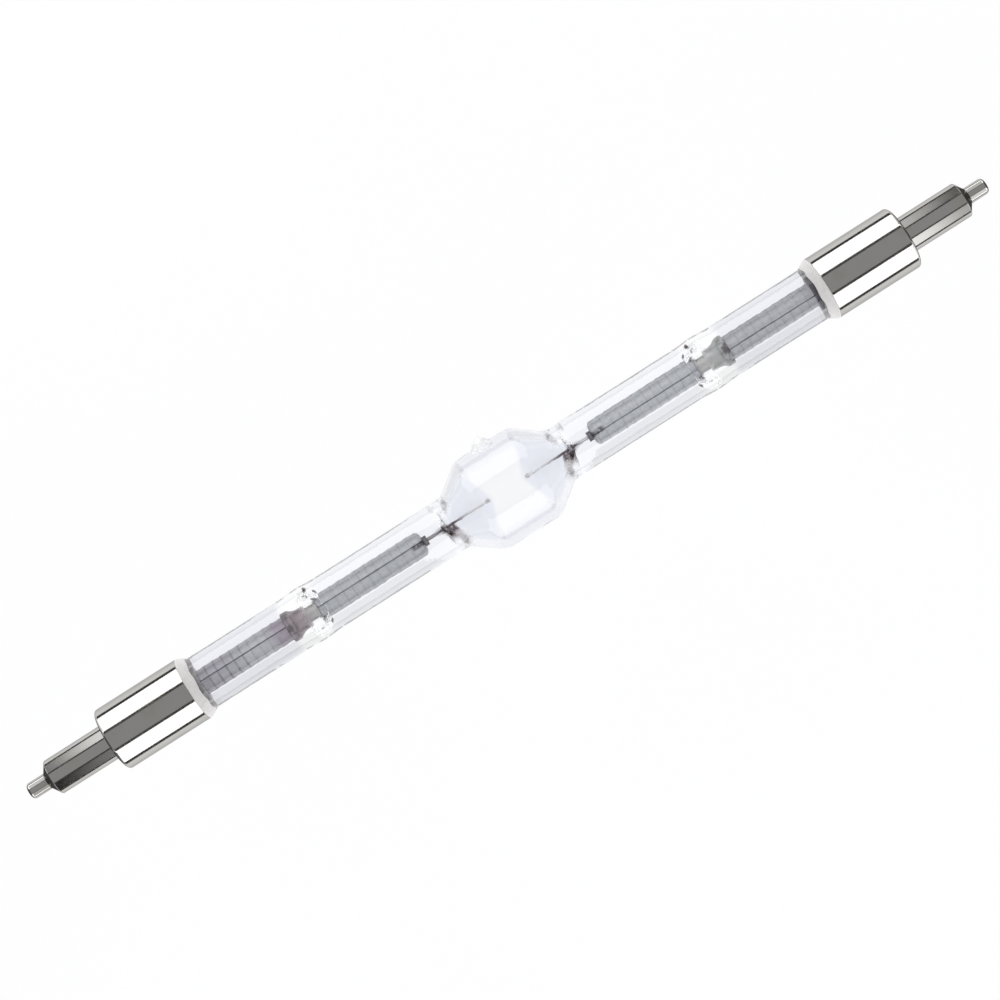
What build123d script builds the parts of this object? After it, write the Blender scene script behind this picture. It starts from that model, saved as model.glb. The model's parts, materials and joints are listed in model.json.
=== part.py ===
from build123d import *

import os

# Double-ended metal halide bulb, in millimetres. +X runs along the bulb from the arc's centre, which is
# the origin, to the right cap. +Z is up and the exhaust pip points to +Y. One end is modelled on the +X
# side, and the other end is the same set of pieces turned half round about Z.

# Whole bulb
overall_length = 355.0
arc_gap = 13.0

# Quartz bulb in the middle
bulb_diameter = 32.5
bulb_wall = 2.5
barrel_length = 20.0
cone_run = 9.5
barrel_corner_radius = 5.0
cone_foot_radius = 5.0
cavity_length = 47.0
cavity_end_radius = 4.3
cavity_corner_radius = 2.2
cavity_waist_radius = 5.0
funnel_mouth_radius = 1.6
funnel_end_radius = 0.6
funnel_length = 3.5
pip_base_diameter = 6.0
pip_top_diameter = 3.2
pip_height = 2.6
pip_top_round = 1.3
pip_root = 1.5

# Quartz stems
stem_diameter = 18.0
stem_insertion = 17.0
swell_height = 0.45
swell_length = 12.0
swell_round = 20.0

# Electrodes
electrode_diameter = 0.8
electrode_end_chamfer = 0.15
electrode_seat_depth = 4.2
coil_wire_diameter = 0.3
coil_turns = 4
coil_wire_sides = 6
coil_setback = 0.15
neck_length = 6.2
collar_diameter = 2.3
collar_length = 1.4

# Foil seals, two in each stem
core_diameter = 5.3
core_shoulder_radius = 1.3
foil_thickness = 0.15
ripple_depth = 0.06
ripple_pitch = 3.1
foil_count = 4
foil_gap_angle = 5.0
foil_plain_run = 0.6
foil_hole_clearance = 0.15
inner_seal_length = 38.3
inner_foil_turn = 7.0
outer_foil_turn = 10.0

# Link between the two seals, and the hollow round it
link_flange_thickness = 0.8
link_rod_diameter = 5.0
link_rod_length = 5.4
link_flare_length = 3.4
bell_diameter = 6.9
bell_length = 2.6
hollow_diameter = 11.6
hollow_stub_length = 2.0
hollow_stub_wall = 0.45
hollow_cone_length = 3.6
hollow_throat_length = 1.2

# Terminal disc and lead
disc_diameter = 8.0
disc_thickness = 1.5
lead_diameter = 3.0
lead_seat_depth = 10.0

# Cap: cement, sleeve and contact pin
cement_gap = 0.95
cement_collar_length = 0.5
cement_taper_length = 1.9
cement_lip = 0.3
sleeve_wall = 0.8
sleeve_end_wall = 1.2
sleeve_length = 30.1
sleeve_edge_radius = 1.1
pin_diameter = 12.0
pin_length = 23.0
pin_end_cone = 1.4
spigot_diameter = 9.0
pin_head_overhang = 1.6
pin_head_thickness = 2.0
tip_diameter = 5.5
tip_length = 7.5
tip_edge_radius = 1.2

# Radii that the pieces share
bulb_radius = bulb_diameter / 2
stem_radius = stem_diameter / 2
core_radius = core_diameter / 2
foil_radius = core_radius + foil_thickness + ripple_depth
electrode_radius = electrode_diameter / 2
collar_radius = collar_diameter / 2
link_rod_radius = link_rod_diameter / 2
bell_radius = bell_diameter / 2
disc_radius = disc_diameter / 2
sleeve_bore_radius = stem_radius + cement_gap
sleeve_radius = sleeve_bore_radius + sleeve_wall
pin_radius = pin_diameter / 2
spigot_radius = spigot_diameter / 2
tip_radius = tip_diameter / 2

# Stations along +X, from the arc outwards
arc_tip_x = arc_gap / 2
barrel_end_x = barrel_length / 2
cone_foot_x = barrel_end_x + cone_run
cavity_end_x = cavity_length / 2
collar_x = cavity_end_x + neck_length
inner_foil_x = collar_x + collar_length
inner_core_x = inner_foil_x + foil_thickness
electrode_end_x = inner_core_x + electrode_seat_depth
link_x = inner_foil_x + inner_seal_length
stub_x = link_x - hollow_stub_length
link_rod_x = link_x + link_flange_thickness
flare_x = link_rod_x + link_rod_length
bell_x = flare_x + link_flare_length
outer_seal_x = bell_x + bell_length

# Stations along +X that are set from the bulb's end inwards
tip_end_x = overall_length / 2
pin_end_x = tip_end_x - tip_length
sleeve_end_x = pin_end_x - pin_length
sleeve_mouth_x = sleeve_end_x - sleeve_length
sleeve_floor_x = sleeve_end_x - sleeve_end_wall
pin_root_x = sleeve_floor_x - pin_head_thickness
lead_end_x = pin_root_x + lead_seat_depth
stem_end_x = sleeve_mouth_x + stem_insertion
cement_collar_x = sleeve_mouth_x - cement_collar_length
cement_x = cement_collar_x - cement_taper_length
lead_x = cement_x
disc_x = lead_x - disc_thickness


def turned(*points, radius=0):
    """Solid turned about X from an outline of (x, r) points, closed along the axis or by its last side."""
    outline = FilletPolyline(*points, radius=radius, close=True)
    return revolve(make_face(outline), Axis.X)


def rod(start_x, end_x, radius):
    """Plain round rod on the X axis."""
    return turned((start_x, 0), (start_x, radius), (end_x, radius), (end_x, 0))


def ring(start_x, end_x, inner_radius, outer_radius):
    """Plain round ring on the X axis."""
    return turned(
        (start_x, inner_radius), (start_x, outer_radius), (end_x, outer_radius), (end_x, inner_radius)
    )


def to_left(piece):
    """The same piece at the other end: half a turn about Z."""
    return Rot(0, 0, 180) * piece


def both_ways(half):
    """A (x, r, corner radius) outline of one end, continued as its mirror image at the other end."""
    outline = [(-x, r, corner) for x, r, corner in reversed(half)] + half
    return turned(*[(x, r) for x, r, corner in outline], radius=[corner for x, r, corner in outline])


def quartz_skin():
    """Outer form of the envelope: stems, swellings round the hollows, cones and barrel."""
    swell_x = (stub_x + bell_x) / 2
    half_swell = swell_length / 2
    return both_ways([
        (barrel_end_x, bulb_radius, barrel_corner_radius),
        (cone_foot_x, stem_radius, cone_foot_radius),
        (swell_x - half_swell, stem_radius, swell_round),
        (swell_x, stem_radius + swell_height, swell_round),
        (swell_x + half_swell, stem_radius, swell_round),
        (stem_end_x, stem_radius, 0),
        (stem_end_x, 0, 0),
    ])


def exhaust_pip():
    """Melted-off stub of the filling tube, on the +Y side of the barrel."""
    root_y = bulb_radius - pip_root
    top_y = bulb_radius + pip_height
    outline = FilletPolyline(
        (0, root_y),
        (pip_base_diameter / 2, root_y),
        (pip_top_diameter / 2, top_y),
        (0, top_y),
        radius=[0, 0, pip_top_round, 0],
        close=True,
    )
    return revolve(make_face(outline), Axis.Y)


def bulb_cavity():
    """Discharge space: barrel, cones, and at each end a rounded cup with a funnel round the rod."""
    cone_drop = bulb_radius - stem_radius
    cone_side = (cone_run**2 + cone_drop**2) ** 0.5
    slope = cone_drop / cone_run
    wall_across_cone = bulb_wall * cone_side / cone_run
    barrel_radius = bulb_radius - bulb_wall
    corner_x = barrel_end_x - (wall_across_cone - bulb_wall) / slope
    waist_x = corner_x + (barrel_radius - cavity_waist_radius) / slope
    return both_ways([
        (corner_x, barrel_radius, barrel_corner_radius - bulb_wall),
        (waist_x, cavity_waist_radius, cavity_corner_radius),
        (cavity_end_x, cavity_end_radius, cavity_corner_radius),
        (cavity_end_x, funnel_mouth_radius, 0),
        (cavity_end_x + funnel_length, funnel_end_radius, 0),
        (cavity_end_x + funnel_length, 0, 0),
    ])


def link_bell(*points):
    """Flare and bell of the link, begun by an outline of (x, r) points that ends where the flare starts."""
    flare = TangentArc(points[-1], (bell_x, bell_radius), tangent=(1, 0))
    before = Polyline(*points)
    after = Polyline(flare @ 1, (outer_seal_x, bell_radius), (outer_seal_x, 0), before @ 0)
    return revolve(make_face([*before.edges(), flare, *after.edges()]), Axis.X)


def seal_space():
    """What one stem leaves free for its seals: neck hole, foil beds, hollow, bell seat and tail bore."""
    bed = turned(
        (inner_foil_x, 0),
        (inner_foil_x, foil_radius),
        (link_rod_x, foil_radius),
        (link_rod_x, 0),
        radius=[0, core_shoulder_radius + foil_thickness, 0, 0],
    )
    hollow_radius = hollow_diameter / 2
    hollow = turned(
        (stub_x, foil_radius + hollow_stub_wall),
        (stub_x + hollow_cone_length, hollow_radius),
        (flare_x - hollow_throat_length, hollow_radius),
        (flare_x, link_rod_radius),
        (flare_x, 0),
        (link_x, 0),
        (link_x, foil_radius + hollow_stub_wall),
    )
    return [
        rod(0, collar_x, electrode_radius),
        rod(collar_x, inner_foil_x, collar_radius),
        bed,
        hollow,
        link_bell((flare_x, 0), (flare_x, link_rod_radius)),
        rod(outer_seal_x, disc_x, foil_radius),
        rod(disc_x, stem_end_x, disc_radius),
    ]


def quartz_envelope():
    """Bulb, stems and pip in one piece of quartz."""
    space = seal_space()
    body = quartz_skin() + exhaust_pip() - bulb_cavity()
    return body - space - [to_left(piece) for piece in space]


def electrode_rod():
    """Tungsten rod from the arc's tip to its seat in the inner core."""
    return turned(
        (arc_tip_x, 0),
        (arc_tip_x, electrode_radius - electrode_end_chamfer),
        (arc_tip_x + electrode_end_chamfer, electrode_radius),
        (electrode_end_x, electrode_radius),
        (electrode_end_x, 0),
    )


def electrode_coil():
    """Wire wound round the electrode's tip."""
    wire_radius = coil_wire_diameter / 2
    winding_radius = electrode_radius + wire_radius
    start_x = arc_tip_x + coil_setback + wire_radius
    path = Helix(
        coil_wire_diameter,
        coil_turns * coil_wire_diameter,
        winding_radius,
        center=(start_x, 0, 0),
        direction=(1, 0, 0),
    )
    section = Plane(origin=path @ 0, z_dir=path % 0) * RegularPolygon(wire_radius, coil_wire_sides)
    return sweep(section, path=path, is_frenet=True)


def weld_collar():
    """Ring on the electrode rod that the inner foils' folded ends are welded to."""
    return ring(collar_x, inner_foil_x, electrode_radius, collar_radius)


def inner_core():
    """Quartz rod with a rounded shoulder towards the bulb and a blind hole for the electrode."""
    body = turned(
        (inner_core_x, 0),
        (inner_core_x, core_radius),
        (link_x, core_radius),
        (link_x, 0),
        radius=[0, core_shoulder_radius, 0, 0],
    )
    return body - rod(inner_core_x, electrode_end_x, electrode_radius)


def outer_core():
    """Plain quartz rod of the outer seal."""
    return rod(outer_seal_x, disc_x, core_radius)


def rippled(start_x, end_x):
    """Points of a foil's outer face along the core, which rises and falls by the ripple's depth."""
    crest = core_radius + foil_thickness
    steps = round((end_x - start_x) / ripple_pitch)
    step = (end_x - start_x) / steps
    return [(start_x + k * step, crest + ripple_depth * (k % 2)) for k in range(steps + 1)]


def foil_strip(outline, corners, number, turn):
    """One foil from its (x, r) outline with corner radii, turned to its place in the row of foils."""
    share = 360 / foil_count
    profile = make_face(FilletPolyline(*outline, radius=corners, close=True))
    strip = revolve(profile, Axis.X, share - foil_gap_angle)
    return Rot(turn + foil_gap_angle / 2 + number * share, 0, 0) * strip


def inner_foil(number):
    """Foil of the inner seal: rippled along the core, folded over its shoulder to the weld collar."""
    fold_radius = electrode_radius + foil_hole_clearance
    ripple = rippled(inner_core_x + core_shoulder_radius + foil_plain_run, link_x)
    outline = [
        (inner_core_x, fold_radius),
        (inner_foil_x, fold_radius),
        (inner_foil_x, core_radius + foil_thickness),
        *ripple,
        (link_x, core_radius),
        (inner_core_x, core_radius),
    ]
    corners = [0, 0, core_shoulder_radius + foil_thickness, *[0] * len(ripple), 0, core_shoulder_radius]
    return foil_strip(outline, corners, number, inner_foil_turn)


def outer_foil(number):
    """Foil of the outer seal: rippled from the link's bell to the terminal disc."""
    outline = [(outer_seal_x, core_radius), *rippled(outer_seal_x, disc_x), (disc_x, core_radius)]
    return foil_strip(outline, [0] * len(outline), number, outer_foil_turn)


def link():
    """Turned piece that joins the seals: flange, rod, flare and bell."""
    return link_bell(
        (link_x, 0),
        (link_x, foil_radius),
        (link_rod_x, foil_radius),
        (link_rod_x, link_rod_radius),
        (flare_x, link_rod_radius),
    )


def terminal_disc():
    """Disc at the outer seal's outer end, level with the edge of the cement."""
    return rod(disc_x, lead_x, disc_radius)


def lead_rod():
    """Rod from the terminal disc to the bottom of the contact pin's hole."""
    return rod(lead_x, lead_end_x, lead_diameter / 2)


def cement():
    """Cement between stem and sleeve, with the collar that stands out of the sleeve's mouth."""
    return turned(
        (cement_x, stem_radius),
        (cement_x, stem_radius + cement_lip),
        (cement_collar_x, sleeve_radius),
        (sleeve_mouth_x, sleeve_radius),
        (sleeve_mouth_x, sleeve_bore_radius),
        (stem_end_x, sleeve_bore_radius),
        (stem_end_x, stem_radius),
    )


def sleeve():
    """Drawn shell of the cap, with the pin's hole in its end wall."""
    shell = turned(
        (sleeve_mouth_x, 0),
        (sleeve_mouth_x, sleeve_radius),
        (sleeve_end_x, sleeve_radius),
        (sleeve_end_x, 0),
        radius=[0, 0, sleeve_edge_radius, 0],
    )
    hollow = rod(sleeve_mouth_x, sleeve_floor_x, sleeve_bore_radius)
    return shell - hollow - rod(sleeve_floor_x, sleeve_end_x, spigot_radius)


def contact_pin():
    """Turned pin: peened head, spigot, contact cylinder, coned end, thin tip, and the lead's hole."""
    head_radius = spigot_radius + pin_head_overhang
    body = turned(
        (pin_root_x, 0),
        (pin_root_x, head_radius),
        (sleeve_floor_x, head_radius),
        (sleeve_floor_x, spigot_radius),
        (sleeve_end_x, spigot_radius),
        (sleeve_end_x, pin_radius),
        (pin_end_x - pin_end_cone, pin_radius),
        (pin_end_x, tip_radius),
        (tip_end_x, tip_radius),
        (tip_end_x, 0),
        radius=[0, 0, 0, 0, 0, 0, 0, 0, tip_edge_radius, 0],
    )
    return body - rod(pin_root_x, lead_end_x, lead_diameter / 2)


def end_pieces():
    """Every piece of one end, by name, on the +X side."""
    pieces = {
        "electrode_rod": electrode_rod(),
        "electrode_coil": electrode_coil(),
        "weld_collar": weld_collar(),
        "inner_core": inner_core(),
        "link": link(),
        "outer_core": outer_core(),
        "terminal_disc": terminal_disc(),
        "lead_rod": lead_rod(),
        "cement": cement(),
        "sleeve": sleeve(),
        "contact_pin": contact_pin(),
    }
    for number in range(foil_count):
        pieces[f"inner_foil_{number + 1}"] = inner_foil(number)
        pieces[f"outer_foil_{number + 1}"] = outer_foil(number)
    return pieces


os.makedirs("parts", exist_ok=True)
export_step(quartz_envelope(), "parts/quartz_envelope.step")
for name, piece in end_pieces().items():
    export_step(piece, f"parts/right_{name}.step")
    export_step(to_left(piece), f"parts/left_{name}.step")
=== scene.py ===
import json
import math

import bmesh
import bpy
from bpy.props import FloatProperty, FloatVectorProperty, IntProperty, PointerProperty
from mathutils import Matrix, Vector, noise


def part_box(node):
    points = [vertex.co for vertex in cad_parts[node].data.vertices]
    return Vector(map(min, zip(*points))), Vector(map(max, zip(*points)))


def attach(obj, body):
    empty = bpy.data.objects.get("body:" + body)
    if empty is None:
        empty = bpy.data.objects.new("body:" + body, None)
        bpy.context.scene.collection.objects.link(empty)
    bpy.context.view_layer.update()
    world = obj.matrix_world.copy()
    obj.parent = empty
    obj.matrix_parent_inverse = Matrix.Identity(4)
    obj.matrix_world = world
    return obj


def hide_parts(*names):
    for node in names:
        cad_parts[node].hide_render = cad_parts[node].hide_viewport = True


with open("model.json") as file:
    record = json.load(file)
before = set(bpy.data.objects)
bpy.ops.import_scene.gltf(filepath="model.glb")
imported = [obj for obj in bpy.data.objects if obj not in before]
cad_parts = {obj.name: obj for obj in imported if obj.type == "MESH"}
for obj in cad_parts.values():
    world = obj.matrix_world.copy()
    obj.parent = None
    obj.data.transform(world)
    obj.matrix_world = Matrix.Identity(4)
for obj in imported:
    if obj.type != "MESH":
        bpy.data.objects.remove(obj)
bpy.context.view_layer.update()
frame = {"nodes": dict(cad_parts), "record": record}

bl_info = {
    "name": "Double-ended metal halide bulb",
    "version": (1, 0, 0),
    "blender": (4, 5, 0),
    "location": "3D View > Sidebar > Bulb",
    "description": "Clear quartz bulb with tandem foil seals and plated caps, on a pale studio floor",
    "category": "Add Mesh",
}

MM = 0.001
BODY = "root"

# The right end is modelled on +X. The left end is the same, turned half round about Z.
ENDS = {"right": Matrix.Identity(4), "left": Matrix.Rotation(math.pi, 4, "Z")}


def reach(node):
    """Start and end along X and the radius of a round node on the X axis, in metres."""
    low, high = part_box(node)
    return low.x, high.x, high.z


def pin_mount():
    """Radius and outer end of the right contact pin's cylinder, from the record's mount."""
    mount = next(m for m in frame["record"]["mounts"] if m["name"] == "right_pin")
    return mount["dims"]["r_mm"] * MM, mount["pos_m"][0] + mount["dims"]["length_mm"] * MM / 2


ROD_START, ROD_END, ROD_RADIUS = reach("right_electrode_rod")
COLLAR_START, COLLAR_END, COLLAR_RADIUS = reach("right_weld_collar")
COIL_START, COIL_END, COIL_RADIUS = reach("right_electrode_coil")
_, CORE_END, CORE_RADIUS = reach("right_inner_core")
LINK_START, LINK_END, BELL_RADIUS = reach("right_link")
DISC_START, DISC_END, DISC_RADIUS = reach("right_terminal_disc")
CEMENT_START, STEM_END, _ = reach("right_cement")
SLEEVE_START, SLEEVE_END, SLEEVE_RADIUS = reach("right_sleeve")
PIN_START, TIP_END, PIN_HEAD_RADIUS = reach("right_contact_pin")
BULB_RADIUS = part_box("quartz_envelope")[1].z
PIP_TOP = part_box("quartz_envelope")[1].y
PIN_RADIUS, PIN_END = pin_mount()

# Roundings of small edges.
STEM_RIM = 0.5 * MM
FUNNEL_LIP = 0.8 * MM
FUNNEL_SEAT = 0.2 * MM
STUB_RIM = 0.2 * MM
STUB_ROOT = 0.3 * MM
HOLLOW_CORNER = 2 * MM
THROAT_CORNER = 1 * MM
ROD_TIP = 0.05 * MM
ROD_EDGE = 0.1 * MM
COLLAR_EDGE = 0.15 * MM
FLANGE_EDGE = 0.15 * MM
FLANGE_ROOT = 0.25 * MM
FLARE_END = 0.9 * MM
BELL_EDGE = 0.3 * MM
DISC_EDGE = 0.2 * MM
CEMENT_LIP_EDGE = 0.15 * MM
CEMENT_EDGE = 0.4 * MM
SLEEVE_FLOOR_EDGE = 0.5 * MM
PIN_HEAD_EDGE = 0.3 * MM
PIN_EDGE = 0.1 * MM

# How far a skin is sunk into the piece that it sits on, so that no slit shows.
BORE_SUNK = 0.1 * MM
HOLLOW_SUNK = 0.15 * MM
COLLAR_SUNK = 0.02 * MM
CEMENT_SUNK = 0.03 * MM

# Sizes of the cement's grains and the bays in its edge, its step back at the sleeve, and the even skin by it.
GRAIN_SIZE = 1.2 * MM
BAY_SIZE = 4 * MM
CEMENT_STEP = 0.1 * MM
CAP_CALM = 6 * MM

# Fineness of the meshes: the distance at which points become one, the longest edges of an outline, and the
# faces of the parts that aren't spun full circle.
SAME_SPOT = 0.0005 * MM
SKIN_EDGE = 1.6 * MM
CAVITY_EDGE = 2 * MM
CEMENT_CUT = 0.5 * MM
PIP_CUTS = 3
COIL_STEPS = 48
FOIL_STEPS = 14
RIPPLE_STEPS = 10
FLARE_STEPS = 10


def length(name, description, default_mm):
    """A size in millimetres as a property in metres."""
    default = default_mm * MM
    return FloatProperty(name=name, description=description, default=default, unit="LENGTH", precision=5)


def angle(name, description, default_degrees):
    """An angle in degrees as a property in radians."""
    default = math.radians(default_degrees)
    return FloatProperty(name=name, description=description, default=default, unit="ROTATION")


def number(name, description, default, least=24):
    """A whole number as a property."""
    return IntProperty(name=name, description=description, default=default, min=least)


def amount(name, description, default):
    """A number that isn't below zero as a property."""
    return FloatProperty(name=name, description=description, default=default, min=0)


def colour(name, description, default):
    """A linear RGB colour property."""
    return FloatVectorProperty(
        name=name, description=description, default=default, size=3, min=0, max=1, subtype="COLOR"
    )


def share(name, description, default):
    """A number from 0 to 1 as a property."""
    return FloatProperty(name=name, description=description, default=default, min=0, max=1, subtype="FACTOR")


class BulbQuartz(bpy.types.PropertyGroup):
    """Sizes of the quartz envelope."""

    steps: number("Steps", "Faces round the envelope", 168)
    stem_radius: length("Stem radius", "Outer radius of the stems", 9.0)
    wall: length("Bulb wall", "Thickness of the barrel's and cones' wall", 2.5)
    barrel: length("Barrel", "Length of the straight barrel between the cones", 20.0)
    cone_run: length("Cone", "Length of each cone along the axis", 9.5)
    corner: length("Corner", "Rounding between barrel and cone, and between cone and stem", 5.0)
    cavity: length("Cavity", "Length of the discharge space between its end cups", 47.0)
    cup_waist: length("Cup waist", "Radius where the cavity's cone runs into the end cup", 5.0)
    cup_end: length("Cup end", "Radius of the cavity's flat end", 4.3)
    cup_round: length("Cup rounding", "Rounding of the end cup", 2.2)
    funnel_mouth: length("Funnel mouth", "Radius of the funnel round the electrode, at the cup's end", 1.6)
    funnel_end: length("Funnel end", "Radius of the funnel's narrow end", 0.6)
    funnel: length("Funnel", "Length of the funnel round the electrode", 3.5)
    swell: length("Swelling", "Height of the stem's swelling round the link", 0.45)
    swell_length: length("Swelling length", "Length of the stem's swelling", 12.0)
    swell_round: length("Swelling rounding", "Rounding of the stem's swelling", 20.0)
    hollow: length("Hollow radius", "Radius of the empty space round the link", 5.8)
    stub: length("Stub", "How far the inner seal stands into the hollow", 2.0)
    stub_wall: length("Stub wall", "Quartz round the foils on the stub", 0.45)
    hollow_cone: length("Hollow cone", "Length of the hollow's inner taper", 3.6)
    hollow_throat: length("Hollow throat", "Length of the hollow's outer taper", 1.2)
    pip_top: length("Pip top", "Radius of the exhaust pip's flat top", 0.7)
    pip_foot: length("Pip foot", "Radius at which the exhaust pip runs out into the barrel", 3.7)
    wave: length("Waviness", "Height of the uneven skin that the glass working leaves", 0.05)
    wave_length: length("Wave length", "Spacing of the uneven skin's waves along the stems", 14.0)


class BulbSeals(bpy.types.PropertyGroup):
    """Sizes of electrodes, foils and links."""

    steps: number("Steps", "Faces round a seal piece", 96)
    wire_radius: length("Coil wire", "Radius of the wire wound on the electrode's tip", 0.15)
    wire_sides: number("Wire sides", "Faces round the coil's wire", 12, least=6)
    coil_turns: amount("Coil turns", "Turns of wire on the electrode's tip", 4.0)
    end_bevel: length("End bevel", "Chamfer of the electrode's tip", 0.15)
    shoulder: length("Shoulder", "Rounding of the fold at the inner foils' inner end", 1.3)
    foil: length("Foil thickness", "Thickness of a foil strip", 0.15)
    fold: length("Fold radius", "Radius of the foils' folded inner edge", 0.55)
    ripple: length("Ripple", "Height of the foils' ripple", 0.07)
    pitch: length("Ripple pitch", "Spacing of the foils' ripple", 3.1)
    gap: angle("Foil gap", "Angle between neighbouring foils", 4)
    inner_turn: angle("Inner turn", "Turn of the inner foils about the axis", 7)
    outer_turn: angle("Outer turn", "Turn of the outer foils about the axis", 10)
    count: number("Foils", "Foil strips round each core", 4, least=1)
    flange: length("Link flange", "Thickness of the link's flange", 0.8)
    flange_radius: length("Flange radius", "Radius of the link's flange", 2.86)
    link_rod: length("Link rod", "Radius of the link's rod", 2.5)
    link_rod_length: length("Link rod length", "Length of the link's rod", 5.4)
    flare: length("Link flare", "Length of the curve from the link's rod to its bell", 3.4)


class BulbCaps(bpy.types.PropertyGroup):
    """Sizes of cement, sleeves and pins."""

    steps: number("Steps", "Faces round a cap piece", 160)
    cement_lip: length("Cement lip", "Height of the cement's edge on the stem", 0.3)
    cement_taper: length("Cement taper", "Length of the cement's taper", 1.9)
    cement_grain: length("Cement grain", "Height of the cement's grain", 0.04)
    cement_creep: length("Cement creep", "How far the cement's edge strays along the stem", 1.2)
    wall: length("Sleeve wall", "Thickness of the sleeve's wall", 0.8)
    end_wall: length("Sleeve end", "Thickness of the sleeve's end wall", 1.2)
    rim: length("Sleeve rim", "Rounding of the sleeve's open rim", 0.25)
    edge: length("Sleeve edge", "Rounding of the sleeve's closed edge", 1.1)
    spigot: length("Spigot radius", "Radius of the pin where it passes through the sleeve", 4.5)
    seam: length("Pin seam", "Chamfer of the pin's shoulder against the sleeve", 0.3)
    cone: length("Pin cone", "Length of the pin's coned outer end", 2.2)
    cone_edge: length("Cone edge", "Rounding between the pin's cylinder and its coned end", 0.5)
    tip: length("Tip radius", "Radius of the thin tip", 2.75)
    tip_edge: length("Tip edge", "Rounding of the tip's end", 1.2)
    tip_fillet: length("Tip fillet", "Hollow rounding between tip and pin", 0.3)


class BulbLooks(bpy.types.PropertyGroup):
    """Colours and gloss of the finishes."""

    quartz: colour("Quartz", "Clear quartz at the barrel", (0.975, 0.979, 0.986))
    # Greyer copies of the quartz colour, painted in as shade on the cones, the barrel's walls and outline,
    # and the stems.
    quartz_cone_shade: colour("Cone quartz", "Cones and the barrel's walls", (0.907, 0.919, 0.955))
    quartz_inner_shade: colour("Inner stem quartz", "Stems round the inner seals", (0.887, 0.903, 0.935))
    quartz_outer_shade: colour("Outer stem quartz", "Stems round the outer seals", (0.800, 0.808, 0.856))
    haze: share("Haze", "Roughness at the cavity's ends, the pip and the hollows' throats", 0.32)
    trace: share("Trace", "How much shows of the pip, the hollows' throats and the cavity's end walls", 0.3)
    stain: colour("Stain", "Filling that has settled on the cavity's end cups", (0.230, 0.190, 0.190))
    stain_dark: colour("Dark stain", "Filling in the funnels, specks in the hollows", (0.050, 0.030, 0.040))
    nickel: colour("Nickel", "Bright plating of sleeves and pins", (0.610, 0.600, 0.580))
    nickel_warm: colour("Warm nickel", "Plating where handling has dulled it", (0.560, 0.540, 0.490))
    nickel_edge: colour("Nickel edge", "Plating seen at a grazing angle", (0.560, 0.560, 0.560))
    nickel_gloss: share("Nickel roughness", "Roughness of the plating", 0.07)
    cement: colour("Cement", "Body of the cement", (0.660, 0.640, 0.640))
    cement_dark: colour("Cement grain", "Darker grains in the cement", (0.560, 0.545, 0.540))
    foil: colour("Foil", "Rolled molybdenum foil", (0.460, 0.468, 0.482))
    # Lighter copy of the foil colour: painted light on the right seals and the left outer seal.
    foil_lit: colour("Pale foil", "Right seals, and the left outer seal", (0.495, 0.505, 0.520))
    # Dark foil colour: painted shade for the ripple's valleys and the +Y half, and also the real specks.
    foil_shade_and_specks: colour("Foil lines", "Lines in the ripple's valleys, and specks", (0.220, 0.220, 0.240))
    foil_heat: colour("Foil heat tint", "Mauve by the left bell and at the left end", (0.300, 0.240, 0.290))
    molybdenum: colour("Molybdenum", "Turned links, discs and collars", (0.400, 0.395, 0.390))
    molybdenum_green: colour("Grey green", "Tint of the right bell", (0.350, 0.366, 0.366))
    molybdenum_heat: colour("Heat tint", "Mauve tint of the left bell", (0.210, 0.165, 0.195))
    molybdenum_dark: colour("Dark molybdenum", "Collars, bell rims, right disc", (0.130, 0.120, 0.130))
    tungsten: colour("Tungsten", "Electrode rods near the quartz", (0.120, 0.095, 0.105))
    tungsten_pale: colour("Pale tungsten", "Electrode tips, bright from the arc", (0.600, 0.590, 0.590))
    floor: colour("Floor", "Body of the floor, which also glows", (0.200, 0.200, 0.202))
    floor_cloud: colour("Floor clouds", "Faint clouds in the floor", (0.190, 0.190, 0.193))


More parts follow.
